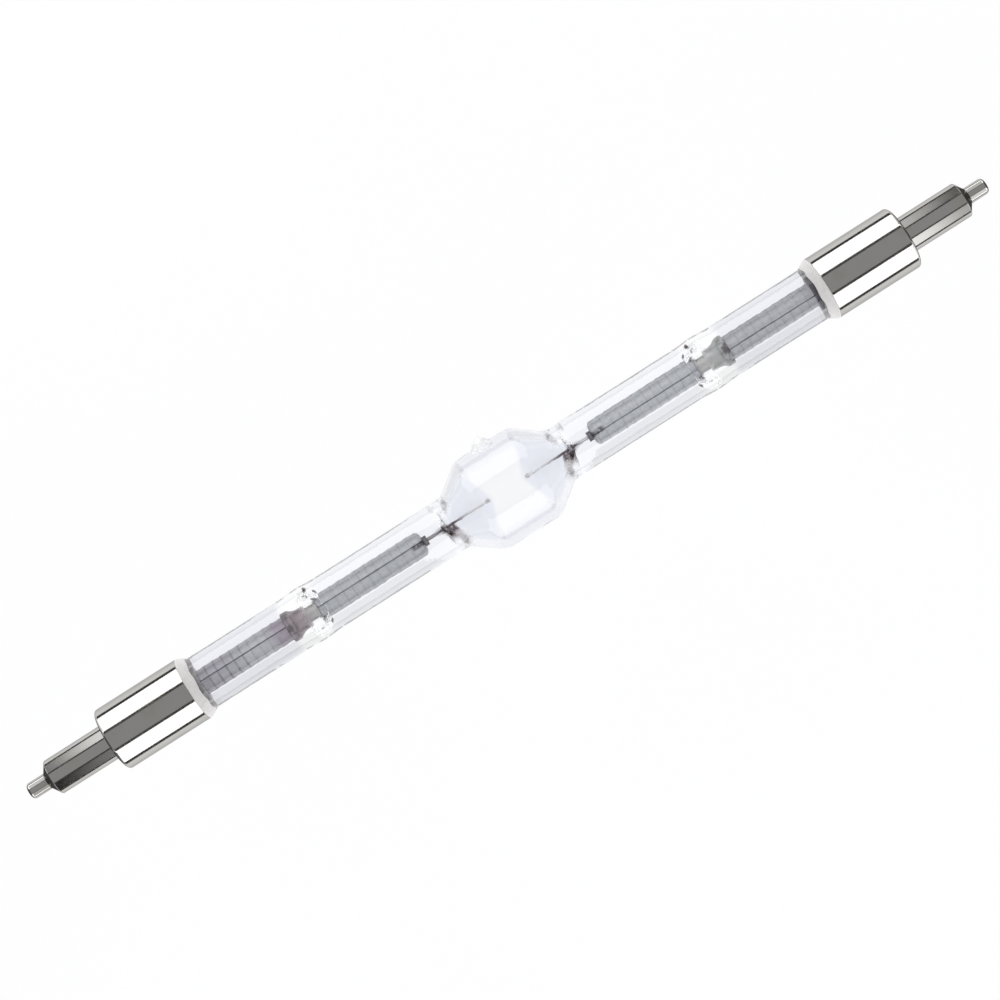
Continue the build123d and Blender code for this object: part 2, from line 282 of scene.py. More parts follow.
class BulbStage(bpy.types.PropertyGroup):
    """Camera, floor, light and cards."""

    camera_height: length("Camera height", "Height of the camera over the axis", 750.0)
    view_width: length("View width", "Width of the picture at the axis", 313.6)
    offset_right: length("Offset right", "How far the arc lies right of the picture's middle", 2.4)
    offset_up: length("Offset up", "How far the arc lies above the picture's middle", 3.6)
    tilt: angle("Tilt", "Slope of the axis in the picture", 32.46)
    floor_drop: length("Floor drop", "Depth of the floor below the axis", 360.0)
    floor_size: length("Floor size", "Side of the square floor", 60000.0)
    floor_glow: amount("Floor glow", "Light of the backlit floor", 0.80)
    box_distance: length("Softbox distance", "From the axis to each softbox", 1000.0)
    box_length: length("Softbox length", "Length of each softbox", 2800.0)
    box_low: length("Softbox foot", "Lower edge, over the axis", -105.0)
    box_high: length("Softbox head", "Upper edge, over the axis", 1190.0)
    box_light: amount("Softbox light", "Brightness of the softboxes", 2.2)
    bar_height: length("Frame bar", "Height of the dark bar over each softbox", 470.0)
    dark: share("Dark", "Brightness of the dark bars", 0.05)
    flag_start: length("Edge flag start", "Inner end, from the arc", 65.0)
    flag_end: length("Edge flag end", "Outer end, from the arc", 290.0)
    flag_gap: length("Edge flag gap", "Start of the gap, from the arc", 149.0)
    flag_gap_width: length("Edge flag gap width", "Width of the gap", 24.0)
    flag_near: length("Edge flag foot", "Foot, from the axis", 620.0)
    flag_head: length("Edge flag head", "Upper edge, over the axis", 60.0)
    flag_grey: share("Edge flag", "Brightness of the edge flags", 0.25)
    veil_start: length("Veil start", "Inner end, from the arc", 48.0)
    veil_near: length("Veil foot", "Near edge, from the axis", 130.0)
    veil_grey: share("Veil", "Brightness of the veils on the floor", 0.84)
    end_near: length("End flag foot", "Foot, from the arc", 380.0)
    end_far: length("End flag head", "Upper edge, from the arc", 750.0)
    end_head: length("End flag height", "Upper edge, over the axis", 500.0)
    end_width: length("End flag width", "Width of each end flag", 460.0)
    end_grey: share("End flag", "Brightness of the end flags", 0.1)
    pin_flag_gap: length("Pin flag gap", "From the axis to the cards beside the pins", 13.0)
    pin_flag_start: length("Pin flag start", "Inner end, from the arc", 148.7)
    pin_flag_end: length("Pin flag end", "Outer end, from the arc", 173.5)
    tip_flag_end: length("Tip flag end", "Outer end of the tips' cards, from the arc", 184.0)
    pin_flag_low: length("Pin flag foot", "Lower edge, over the axis", 3.1)
    pin_flag_high: length("Pin flag head", "Upper edge, over the axis", 18.7)
    ceiling: amount("Ceiling", "Brightness of the ceiling in reflections", 0.35)
    backdrop: amount("Backdrop", "Brightness of the backdrop behind the bulb", 0.97)


# Meshes

def wire(points, closed=False):
    """A bmesh with a wire through (x, radius, rounding) points in the XY plane, with rounded corners."""
    bm = bmesh.new()
    verts = [bm.verts.new((x, radius, 0)) for x, radius, rounding in points]
    pairs = list(zip(verts, verts[1:]))
    if closed:
        pairs.append((verts[-1], verts[0]))
    for pair in pairs:
        bm.edges.new(pair)
    for vert, (x, radius, rounding) in zip(verts, points):
        if rounding:
            round_corner(bm, vert, rounding)
    return bm


def round_corner(bm, vert, rounding, degrees_per_segment=6):
    """Bevels one corner of a wire to an arc of that radius."""
    before, after = (edge.other_vert(vert).co - vert.co for edge in vert.link_edges)
    turn = math.pi - before.angle(after)
    bmesh.ops.bevel(
        bm,
        geom=[vert],
        offset=rounding * math.tan(turn / 2),
        offset_type="OFFSET",
        segments=max(2, round(math.degrees(turn) / degrees_per_segment)),
        profile=0.5,
        affect="VERTICES",
        material=-1,
        clamp_overlap=True,
    )


def divide(bm, longest):
    """Cuts each edge of a wire into parts no longer than that."""
    for edge in bm.edges[:]:
        cuts = math.ceil(edge.calc_length() / longest) - 1
        if cuts > 0:
            bmesh.ops.subdivide_edges(bm, edges=[edge], cuts=cuts)


def spin(bm, turn, steps, slide=0, full=False):
    """Spins a wire round the X axis through a turn, with a slide along the axis at each step."""
    bmesh.ops.spin(
        bm,
        geom=bm.verts[:] + bm.edges[:],
        cent=(0, 0, 0),
        axis=(1, 0, 0),
        dvec=(slide, 0, 0),
        angle=turn,
        steps=steps,
        use_merge=full,
        use_normal_flip=False,
        use_duplicate=False,
    )


def spun(bm, steps):
    """Spins a wire full circle to a closed skin whose faces point outwards."""
    spin(bm, math.tau, steps, full=True)
    bmesh.ops.remove_doubles(bm, verts=bm.verts, dist=SAME_SPOT)
    bmesh.ops.recalc_face_normals(bm, faces=bm.faces)
    return bm


def turned(points, steps, closed=False):
    """Skin of revolution from (x, radius, rounding) points that end on the axis, or a closed ring."""
    return spun(wire(points, closed), steps)


def joined(*parts):
    """Several bmeshes in one."""
    whole = bmesh.new()
    for part in parts:
        mesh = bpy.data.meshes.new("part")
        part.to_mesh(mesh)
        part.free()
        whole.from_mesh(mesh)
        bpy.data.meshes.remove(mesh)
    return whole


def both_ways(half):
    """An outline of the right half, continued as its mirror image to the left."""
    return [(-x, radius, rounding) for x, radius, rounding in reversed(half)] + half


def add_object(name, bm, material):
    """An object at the origin with a bmesh's shape and one material."""
    mesh = bpy.data.meshes.new(name)
    bm.to_mesh(mesh)
    bm.free()
    mesh.materials.append(material)
    piece = bpy.data.objects.new(name, mesh)
    bpy.context.scene.collection.objects.link(piece)
    return piece


def place(name, bm, material, nodes, sharp=35):
    """Makes the finished piece: smooth, with sharp edges, riding on the body in place of its nodes."""
    piece = add_object(name, bm, material)
    piece.data.shade_smooth()
    piece.data.set_sharp_from_angle(angle=math.radians(sharp))
    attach(piece, BODY)
    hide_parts(*nodes)
    return piece


def place_ends(name, node, material, slot, make, *details):
    """Makes a piece at both ends from a function that returns its bmesh on the right."""
    for end, turn in ENDS.items():
        bm = make(*details)
        bmesh.ops.transform(bm, matrix=turn, verts=bm.verts)
        place(f"{name}_{end}", bm, material, [f"{end}_{node}"])


def smooth_step(low, high, value):
    """0 below low, 1 above high, and a smooth rise between."""
    part = min(max((value - low) / (high - low), 0), 1)
    return part * part * (3 - 2 * part)


# Finishes

def maths(operation, reflected=False):
    """A method that adds a Math node for a socket and another value, or for the two swapped."""
    def method(self, other=0.0):
        first, second = (other, self) if reflected else (self, other)
        return self.nodes.add("ShaderNodeMath", {"operation": operation}, {0: first, 1: second})
    return method


class Socket:
    """A node's output, with arithmetic that adds Math nodes."""

    def __init__(self, nodes, socket):
        self.nodes = nodes
        self.socket = socket

    def __neg__(self):
        return -1 * self

    __add__ = maths("ADD")
    __radd__ = maths("ADD", reflected=True)
    __sub__ = maths("SUBTRACT")
    __rsub__ = maths("SUBTRACT", reflected=True)
    __mul__ = maths("MULTIPLY")
    __rmul__ = maths("MULTIPLY", reflected=True)
    __truediv__ = maths("DIVIDE")
    __mod__ = maths("FLOORED_MODULO")
    __abs__ = maths("ABSOLUTE")


class Nodes:
    """The nodes of one material or world."""

    def __init__(self, tree):
        self.tree = tree

    def add(self, kind, settings=None, inputs=None, output=0):
        """Adds a node, settings first, then its sockets' values or links, and returns one of its outputs."""
        node = self.tree.nodes.new(kind)
        for name, value in (settings or {}).items():
            setattr(node, name, value)
        for name, value in (inputs or {}).items():
            self.feed(node.inputs[name], value)
        return Socket(self, node.outputs[output]) if node.outputs else None

    def feed(self, socket, value):
        """Links an output to a node's socket, or sets the socket's own value."""
        if isinstance(value, Socket):
            self.tree.links.new(value.socket, socket)
        elif socket.type == "RGBA":
            socket.default_value = (*value, 1)
        else:
            socket.default_value = value

    def spot(self, stretch=(1, 1, 1)):
        """Object coordinates in millimetres, scaled along each axis."""
        where = self.add("ShaderNodeTexCoord", output="Object")
        scale = [part / MM for part in stretch]
        return self.add("ShaderNodeMapping", inputs={"Vector": where, "Scale": scale})

    def along(self, axis="X"):
        """Place along the bulb's axis, or another axis, in millimetres."""
        return self.add("ShaderNodeSeparateXYZ", inputs={"Vector": self.spot()}, output=axis)

    def away(self, across):
        """Distance from an axis in millimetres, given ones for the two directions across it."""
        spot = self.spot(across)
        return self.add("ShaderNodeVectorMath", {"operation": "LENGTH"}, {0: spot}, output="Value")

    def grain(self, size, stretch=(1, 1, 1), detail=3.0):
        """Noise from 0 to 1 with features of that size in millimetres."""
        return self.add(
            "ShaderNodeTexNoise",
            inputs={"Vector": self.spot(stretch), "Scale": 1 / size, "Detail": detail},
        )

    def rise(self, value, span):
        """0 before a span of two values, 1 after it, and a smooth rise between."""
        low, high = span
        return self.add(
            "ShaderNodeMapRange",
            {"interpolation_type": "SMOOTHSTEP"},
            {"Value": value, "From Min": low, "From Max": high},
        )

    def fall(self, value, span):
        """1 before a span of two values, 0 after it, and a smooth fall between."""
        return 1 - self.rise(value, span)

    def band(self, value, rising, falling):
        """1 between two spans, with a rise over the first and a fall over the second."""
        return self.rise(value, rising) * self.fall(value, falling)

    def blend(self, first, second, factor):
        """One colour run into another."""
        return self.add(
            "ShaderNodeMix", {"data_type": "RGBA"}, {"Factor": factor, 6: first, 7: second}, output=2
        )

    def paint(self, ground, *coats):
        """A colour with others over it, each a pair of colour and mask."""
        for tint, mask in coats:
            ground = self.blend(ground, tint, mask)
        return ground

    def bump(self, height, depth):
        """Normal from a height of 0 to 1 that stands for a depth in millimetres."""
        return self.add("ShaderNodeBump", inputs={"Height": height, "Distance": depth * MM})


def finish(make):
    """A material named after the function that gives its Principled shader's sockets, made only once."""
    name = make.__name__
    if name in bpy.data.materials:
        return bpy.data.materials[name]
    material = bpy.data.materials.new(name)
    material.use_nodes = True
    nodes = Nodes(material.node_tree)
    shader = next(node for node in material.node_tree.nodes if node.type == "BSDF_PRINCIPLED")
    for socket, value in make(nodes, bpy.context.scene.bulb_looks).items():
        nodes.feed(shader.inputs[socket], value)
    return material


# In the finishes, spans along the axis and away from it are in millimetres, and masks run from 0 to 1.

def quartz_shade_tint(nodes, looks, x, y):
    """Painted shade: clear in the barrel and round the hollows, painted greyer in the walls, at the barrel's
    outline, in the cones and in the stems, the outer stems varied by streaks.
    """
    streaks = nodes.grain(1.1, stretch=(0.06, 1, 1))
    lean = 0.35
    cones = nodes.rise(x - lean * abs(y), (4.6, 7.0))
    # Painted shade at the barrel's sides and outline, where the glass is seen at a slant.
    walls = nodes.rise(abs(y), (11.3, 12.3))
    edges = nodes.rise(abs(y), (13.3, 14.2))
    inner_stems = nodes.rise(x, (24.0, 36.0))
    hollows = nodes.rise(x, (67.0, 70.0))
    outer_stems = nodes.rise(x, (80.2, 82.0))
    return nodes.paint(
        looks.quartz,
        (looks.quartz_cone_shade, cones + walls),
        (looks.quartz_outer_shade, 0.5 * edges),
        (looks.quartz_inner_shade, inner_stems),
        (looks.quartz, hollows),
        (looks.quartz_outer_shade, outer_stems * (0.6 + 0.6 * streaks)),
    )


def settled_filling(nodes, x, y, out):
    """Masks of the filling that has settled in the end cups, in the funnels and as a crust in these."""
    smear = nodes.grain(1.5)
    lean, root_y = 0.68, -0.9
    slant = x - lean * y
    cup = nodes.rise(slant, (21.6, 23.6)) * nodes.fall(x, (24.0, 25.0)) * nodes.fall(out, (7.0, 8.2))
    lower_half = nodes.rise(-y, (-1.6, 0.4))
    root = nodes.rise(slant, (22.3, 23.6)) * nodes.fall(abs(y - root_y), (1.2, 2.6))
    fading = (1 - 0.7 * nodes.rise(x, (24.0, 25.5))) * nodes.fall(x, (26.5, 29.0))
    funnel = root * fading * nodes.fall(out, (5.0, 6.0))
    crust = funnel * nodes.rise(smear, (0.36, 0.52)) * nodes.fall(x, (23.8, 24.6))
    return cup * lower_half * (0.65 + 0.9 * smear), funnel * (0.5 + 0.6 * smear), crust


def corner_specks(nodes, x, y):
    """Mask of the dark specks at the inner corners of the hollows, and at the feet of their cones."""
    corner_x, foot_x, foot_y = 70.8, 68.1, 3.9
    corner = nodes.rise(y, (5.0, 5.6)) * nodes.fall(abs(x - corner_x), (0.5, 1.1))
    foot = nodes.fall(abs(abs(y) - foot_y), (0.4, 0.8)) * nodes.fall(abs(x - foot_x), (0.6, 1.1))
    level = nodes.fall(abs(nodes.along("Z")), (1.2, 2.0))
    return corner + foot * level


def fused_quartz(nodes, looks):
    """Fused quartz: clear in the bulb, with painted shade that makes it greyer along the stems, stained at
    the cavity's ends.
    """
    x, y, out = abs(nodes.along()), nodes.along("Y"), nodes.away((0, 1, 1))
    tint = quartz_shade_tint(nodes, looks, x, y)
    stain, dark, crust = settled_filling(nodes, x, y, out)
    in_hollow = nodes.fall(out, (6.4, 7.0))
    specks = corner_specks(nodes, x, y) * in_hollow
    throat = nodes.band(x, (73.2, 73.8), (76.0, 76.5)) * in_hollow
    cup_end = nodes.rise(x, (22.4, 23.2))
    end_wall = cup_end * nodes.fall(x, (24.0, 25.0)) * nodes.rise(y, (0.6, 1.6))
    sides = nodes.rise(abs(y), (1.5, 3.5)) + cup_end
    worked = sides * nodes.band(x, (14.0, 19.0), (24.0, 26.0)) * nodes.fall(out, (8.0, 8.6))
    pip = nodes.rise(y, (14.6, 15.0)) * nodes.fall(nodes.away((1, 0, 1)), (3.6, 4.4))
    ripples = nodes.grain(2.0, stretch=(0.4, 1, 1)) * nodes.rise(out, (8.0, 8.9))
    return {
        "Base Color": nodes.paint(tint, (looks.stain, stain), (looks.stain_dark, dark + specks)),
        "Metallic": crust + specks,
        "Alpha": 1 - (1 - looks.trace) * (pip + throat + 0.7 * end_wall),
        "Roughness": looks.haze * (worked + 1.2 * throat + pip),
        "IOR": 1.458,
        "Transmission Weight": 1.0,
        "Normal": nodes.bump(ripples, 0.05),
    }


def bright_nickel(nodes, looks):
    """Bright plating with fine turning lines and faint dull patches."""
    lines = nodes.grain(0.5, stretch=(3.0, 0.25, 0.25))
    dull = nodes.rise(nodes.grain(9.0), (0.5, 0.8))
    return {
        "Base Color": nodes.blend(looks.nickel, looks.nickel_warm, dull),
        "Metallic": 1.0,
        "Roughness": looks.nickel_gloss + 0.05 * lines + 0.05 * dull,
        "Specular Tint": looks.nickel_edge,
        "Normal": nodes.bump(lines, 0.0008),
    }


def pale_cement(nodes, looks):
    """Matt grey-white cement with fine and coarse grain."""
    fine = nodes.grain(0.35, detail=4.0)
    coarse = nodes.grain(1.6)
    dark = nodes.rise(fine * 0.6 + coarse * 0.4, (0.48, 0.66))
    return {
        "Base Color": nodes.blend(looks.cement, looks.cement_dark, dark),
        "Roughness": 0.75 + 0.2 * fine,
        "Normal": nodes.bump(fine, 0.06),
    }


def rippled_foil(nodes, looks):
    """Rolled foil with painted shade as dark lines in the ripple's valleys and a darker +Y half, painted
    light as a paler copy on the right seals and the left outer seal, mottled and specked, mauve from heat on
    the left.
    """
    x, y = nodes.along(), nodes.along("Y")
    left = -x
    pitch = bpy.context.scene.bulb_seals.pitch / MM
    # Painted shade: dark lines in the ripple's valleys, stronger towards the left end and patchy.
    crease_shade = nodes.fall(abs((x / pitch) % 1.0 - 0.5), (0.05, 0.16))
    mottle = nodes.grain(1.5)
    specks = nodes.rise(nodes.grain(0.8), (0.38, 0.62))
    shade_patches = nodes.rise(mottle, (0.35, 0.7))
    # Painted shade: the foil's +Y half is painted darker.
    shaded_upper_half = nodes.rise(y, (-0.3, 0.6))
    left_end = nodes.rise(left, (92.0, 102.0))
    # Painted light: a paler copy of the foil on the left outer seal and on the right seals.
    lit_left_outer = nodes.band(left, (80.0, 86.0), (95.0, 100.0))
    lit_right_seals = nodes.rise(x, (20.0, 40.0)) * (1 - 0.4 * nodes.rise(x, (66.0, 90.0)))
    hot = nodes.band(left, (76.0, 80.0), (84.0, 90.0)) + 0.4 * nodes.rise(left, (97.0, 105.0))
    seat = nodes.fall(abs(x), (34.5, 36.0)) * nodes.fall(abs(y), (0.4, 1.0))
    return {
        "Base Color": nodes.paint(
            looks.foil,
            (looks.foil_lit, lit_right_seals + lit_left_outer),
            (looks.foil_shade_and_specks, 0.2 * specks + 0.15 * shaded_upper_half),
            (looks.foil_shade_and_specks, crease_shade * (0.25 + 0.75 * left_end) * (0.5 + 0.5 * shade_patches)),
            (looks.foil_heat, hot * (0.45 + 0.4 * mottle)),
            (looks.molybdenum_dark, seat * (0.3 + 0.7 * nodes.rise(mottle, (0.35, 0.5)))),
        ),
        "Metallic": 1.0,
        "Roughness": 0.34 + 0.16 * mottle + 0.1 * crease_shade,
        "Normal": nodes.bump(mottle, 0.02),
    }


def turned_molybdenum(nodes, looks):
    """Turned links, discs and collars: grey, greenish on the right bell, mauve from heat on the left one."""
    x = nodes.along()
    rings = nodes.grain(0.3, stretch=(1, 0.1, 0.1))
    cloud = nodes.grain(2.0)
    right_bell = nodes.band(x, (72.0, 77.0), (80.0, 90.0))
    left_bell = nodes.band(-x, (69.0, 78.0), (90.0, 100.0))
    welded = 1 - nodes.rise(abs(x), (33.0, 36.0)) * nodes.fall(x, (108.0, 111.0))
    scorched = nodes.band(abs(x), (78.0, 80.0), (82.0, 83.0)) * nodes.rise(cloud, (0.4, 0.6))
    return {
        "Base Color": nodes.paint(
            looks.molybdenum,
            (looks.molybdenum_green, right_bell * (0.5 + 0.5 * cloud)),
            (looks.molybdenum_heat, left_bell * (0.5 + 0.5 * cloud)),
            (looks.molybdenum_dark, welded * (0.6 + 0.6 * cloud) + scorched),
        ),
        "Metallic": 1.0,
        "Roughness": 0.28 + 0.12 * rings + 0.1 * cloud,
        "Normal": nodes.bump(rings, 0.004),
    }


def drawn_tungsten(nodes, looks):
    """Drawn tungsten with lines along the rod: pale at the tip, dark at the cavity's end."""
    x = nodes.along()
    lines = nodes.grain(0.2, stretch=(0.08, 1, 1))
    neck = (25.0, 27.0)
    sealed = 0.35 * nodes.rise(abs(x), neck) + 0.5 * nodes.rise(x, neck)
    pale = nodes.fall(abs(x), (12.0, 22.0)) + sealed
    return {
        "Base Color": nodes.blend(looks.tungsten, looks.tungsten_pale, pale * (0.75 + 0.5 * lines)),
        "Metallic": 1.0,
        "Roughness": 0.5 + 0.2 * lines,
        "Normal": nodes.bump(lines, 0.004),
    }


def studio_floor(nodes, looks):
    """Pale floor that is lit from within, with a faint cloudiness."""
    cloud = nodes.grain(180.0, detail=2.0)
    return {
        "Base Color": nodes.blend(looks.floor, looks.floor_cloud, cloud),
        "Roughness": 0.9,
        "Specular IOR Level": 0.0,
        "Emission Color": (1.0, 1.0, 1.0),
        "Emission Strength": bpy.context.scene.bulb_stage.floor_glow,
    }


# Pieces

def flare_start(seals):
    """Where the right link's rod begins to flare and the quartz closes on it."""
    return LINK_START + seals.flange + seals.link_rod_length


def quartz_skin(sizes, seals):
    """Outer skin of the envelope with the open tail bores, the pip and the uneven surface."""
    swell_x = (LINK_START - sizes.stub + flare_start(seals) + seals.flare) / 2
    half = sizes.swell_length / 2
    stem = sizes.stem_radius
    barrel_end = sizes.barrel / 2
    bore_x = DISC_END - BORE_SUNK
    skin = wire(both_ways([
        (barrel_end, BULB_RADIUS, sizes.corner),
        (barrel_end + sizes.cone_run, stem, sizes.corner),
        (swell_x - half, stem, sizes.swell_round),
        (swell_x, stem + sizes.swell, sizes.swell_round),
        (swell_x + half, stem, sizes.swell_round),
        (STEM_END, stem, STEM_RIM),
        (STEM_END, DISC_RADIUS, STEM_RIM),
        (bore_x, DISC_RADIUS, 0),
        (bore_x, 0, 0),
    ]))
    divide(skin, SKIN_EDGE)
    spun(skin, sizes.steps)
    fine = 1.2 * sizes.pip_foot
    near = [edge for edge in skin.edges if all(pip_distance(vert.co) < fine for vert in edge.verts)]
    bmesh.ops.subdivide_edges(skin, edges=near, cuts=PIP_CUTS, use_grid_fill=True)
    for vert in skin.verts:
        vert.co += unevenness(vert.co, sizes)
        raise_pip(vert, sizes)
    bmesh.ops.recalc_face_normals(skin, faces=skin.faces)
    return skin


def pip_distance(point):
    """Distance from the pip's axis, or far away for a point on the barrel's other side."""
    if point.y < BULB_RADIUS / 2:
        return BULB_RADIUS
    return math.hypot(point.x, point.z)


def raise_pip(vert, sizes):
    """Pulls the barrel's skin out to the melted-off pip."""
    away = pip_distance(vert.co)
    if away < sizes.pip_foot:
        crown = PIP_TOP - math.sqrt(max(BULB_RADIUS**2 - vert.co.z**2, 0))
        vert.co.y += crown * (1 - smooth_step(sizes.pip_top, sizes.pip_foot, away))


def unevenness(point, sizes):
    """Step of the glass-worked skin, mostly inwards, with nothing at the caps and in the tail bores."""
    outward = Vector((0, point.y, point.z))
    least_radius = sizes.stem_radius * 0.9
    if outward.length < least_radius:
        return Vector()
    around = outward.normalized()
    lumps, inward = 1.3, 0.25
    spot = Vector((point.x / sizes.wave_length, around.y * lumps, around.z * lumps))
    fade = 1 - smooth_step(CEMENT_START - CAP_CALM, CEMENT_START, abs(point.x))
    swing = noise.noise(spot) - inward
    return around * (sizes.wave * swing * fade)


def discharge_space(sizes):
    """Skin of the bulb's cavity, which faces into the cavity."""
    drop = BULB_RADIUS - sizes.stem_radius
    slope = drop / sizes.cone_run
    wall_across = sizes.wall * math.hypot(1, slope)
    radius = BULB_RADIUS - sizes.wall
    corner_x = sizes.barrel / 2 - (wall_across - sizes.wall) / slope
    waist_x = corner_x + (radius - sizes.cup_waist) / slope
    end_x = sizes.cavity / 2
    space = wire(both_ways([
        (corner_x, radius, sizes.corner - sizes.wall),
        (waist_x, sizes.cup_waist, sizes.cup_round),
        (end_x, sizes.cup_end, sizes.cup_round),
        (end_x, sizes.funnel_mouth, FUNNEL_LIP),
        (end_x + sizes.funnel, sizes.funnel_end, FUNNEL_SEAT),
        (end_x + sizes.funnel, 0, 0),
    ]))
    divide(space, CAVITY_EDGE)
    spun(space, sizes.steps)
    bmesh.ops.reverse_faces(space, faces=space.faces)
    return space


def link_space(sizes, seals):
    """Skin of one hollow round the link, which faces into the hollow and ends inside the metal."""
    stub_x = LINK_START - sizes.stub
    stub_radius = seals.flange_radius + sizes.stub_wall
    flare_x = flare_start(seals)
    space = turned([
        (LINK_START + HOLLOW_SUNK, 0, 0),
        (LINK_START + HOLLOW_SUNK, seals.flange_radius - HOLLOW_SUNK, 0),
        (LINK_START, seals.flange_radius, 0),
        (LINK_START, stub_radius, STUB_RIM),
        (stub_x, stub_radius, STUB_ROOT),
        (stub_x + sizes.hollow_cone, sizes.hollow, HOLLOW_CORNER),
        (flare_x - sizes.hollow_throat, sizes.hollow, THROAT_CORNER),
        (flare_x, seals.link_rod - HOLLOW_SUNK, 0),
        (flare_x + HOLLOW_SUNK, 0, 0),
    ], sizes.steps)
    bmesh.ops.reverse_faces(space, faces=space.faces)
    return space


class BULB_OT_quartz(bpy.types.Operator):
    """Fused quartz: stems, bulb, pip, discharge space and the hollows round the links"""

    bl_idname = "bulb.quartz"
    bl_label = "Quartz envelope"

    def execute(self, context):
        sizes, seals = context.scene.bulb_quartz, context.scene.bulb_seals
        parts = [quartz_skin(sizes, seals), discharge_space(sizes)]
        for turn in ENDS.values():
            hollow = link_space(sizes, seals)
            bmesh.ops.transform(hollow, matrix=turn, verts=hollow.verts)
            parts.append(hollow)
        cores = [f"{end}_{core}_core" for end in ENDS for core in ("inner", "outer")]
        nodes = ["quartz_envelope", *cores]
        glass = place("fused_quartz", joined(*parts), finish(fused_quartz), nodes, sharp=50)
        glass.visible_shadow = False
        return {"FINISHED"}


def electrode_rod(sizes):
    """Rod from the arc to its seat in the quartz, chamfered at the tip."""
    return turned([
        (ROD_START, 0, 0),
        (ROD_START, ROD_RADIUS - sizes.end_bevel, ROD_TIP),
        (ROD_START + sizes.end_bevel, ROD_RADIUS, ROD_EDGE),
        (ROD_END, ROD_RADIUS, ROD_EDGE),
        (ROD_END, 0, 0),
    ], sizes.steps)


def electrode_coil(sizes):
    """Round wire wound on the tip: a ring of points screwed along the axis, closed at both ends."""
    wind = COIL_RADIUS - sizes.wire_radius
    start_x = COIL_START + sizes.wire_radius
    run = COIL_END - sizes.wire_radius - start_x
    steps = round(sizes.coil_turns * COIL_STEPS)
    at_start = Matrix.Translation((start_x, wind, 0))
    bm = bmesh.new()
    bmesh.ops.create_circle(bm, segments=sizes.wire_sides, radius=sizes.wire_radius, matrix=at_start)
    spin(bm, math.tau * sizes.coil_turns, steps, slide=run / steps)
    bmesh.ops.holes_fill(bm, edges=bm.edges, sides=sizes.wire_sides)
    bmesh.ops.recalc_face_normals(bm, faces=bm.faces)
    return bm


def weld_collar(sizes):
    """Ring that the inner foils are welded to, sunk a little into the rod."""
    inner = ROD_RADIUS - COLLAR_SUNK
    return turned([
        (COLLAR_START, inner, 0),
        (COLLAR_START, COLLAR_RADIUS, COLLAR_EDGE),
        (COLLAR_END, COLLAR_RADIUS, COLLAR_EDGE),
        (COLLAR_END, inner, 0),
    ], sizes.steps, closed=True)


class BULB_OT_electrodes(bpy.types.Operator):
    """Electrode rods with their wound tips and weld collars"""

    bl_idname = "bulb.electrodes"
    bl_label = "Electrodes"

    def execute(self, context):
        sizes = context.scene.bulb_seals
        tungsten, metal = finish(drawn_tungsten), finish(turned_molybdenum)
        place_ends("arc_rod", "electrode_rod", tungsten, "tungsten", electrode_rod, sizes)
        place_ends("arc_coil", "electrode_coil", tungsten, "tungsten", electrode_coil, sizes)
        place_ends("foil_collar", "weld_collar", metal, "molybdenum", weld_collar, sizes)
        return {"FINISHED"}


def foil_strip(sizes, outline, start_x, turn):
    """A foil from its closed outline, rippled beyond start_x, spun through its share of the circle."""
    bm = wire(outline, closed=True)
    divide(bm, sizes.pitch / RIPPLE_STEPS)
    for vert in bm.verts:
        if vert.co.x > start_x:
            wave = math.cos(math.tau * vert.co.x / sizes.pitch)
            vert.co.y += sizes.ripple * 0.5 * (1 - wave) * smooth_step(0, sizes.pitch, vert.co.x - start_x)
    spin(bm, math.tau / sizes.count - sizes.gap, FOIL_STEPS)
    bmesh.ops.holes_fill(bm, edges=bm.edges, sides=0)
    bmesh.ops.recalc_face_normals(bm, faces=bm.faces)
    bmesh.ops.rotate(bm, verts=bm.verts, cent=(0, 0, 0), matrix=Matrix.Rotation(turn, 3, "X"))
    return bm


def foil_turn(sizes, first_turn, spot):
    """Turn about the axis of the foil at a spot in its row, counted from 0."""
    return first_turn + sizes.gap / 2 + math.tau * spot / sizes.count


def inner_foil(sizes, spot):
    """Foil of the inner seal, folded over the shoulder to the weld collar."""
    outside = CORE_RADIUS + sizes.foil
    outline = [
        (COLLAR_END + sizes.foil, sizes.fold, 0),
        (COLLAR_END, sizes.fold, 0),
        (COLLAR_END, outside, sizes.shoulder + sizes.foil),
        (CORE_END, outside, 0),
        (CORE_END, CORE_RADIUS, 0),
        (COLLAR_END + sizes.foil, CORE_RADIUS, sizes.shoulder),
    ]
    past_shoulder = COLLAR_END + sizes.shoulder * 1.5
    return foil_strip(sizes, outline, past_shoulder, foil_turn(sizes, sizes.inner_turn, spot))


def outer_foil(sizes, spot):
    """Foil of the outer seal, from the link's bell to the terminal disc."""
    outside = CORE_RADIUS + sizes.foil
    outline = [
        (LINK_END, outside, 0),
        (DISC_START, outside, 0),
        (DISC_START, CORE_RADIUS, 0),
        (LINK_END, CORE_RADIUS, 0),
    ]
    return foil_strip(sizes, outline, LINK_END, foil_turn(sizes, sizes.outer_turn, spot))


class BULB_OT_foils(bpy.types.Operator):
    """Rippled foils of the inner and outer seals"""

    bl_idname = "bulb.foils"
    bl_label = "Seal foils"

    def execute(self, context):
        sizes = context.scene.bulb_seals
        material = finish(rippled_foil)
        for row, make in (("inner", inner_foil), ("outer", outer_foil)):
            for spot in range(sizes.count):
                name, node = f"{row}_seal_foil_{spot + 1}", f"{row}_foil_{spot + 1}"
                place_ends(name, node, material, "molybdenum_foil", make, sizes, spot)
        return {"FINISHED"}


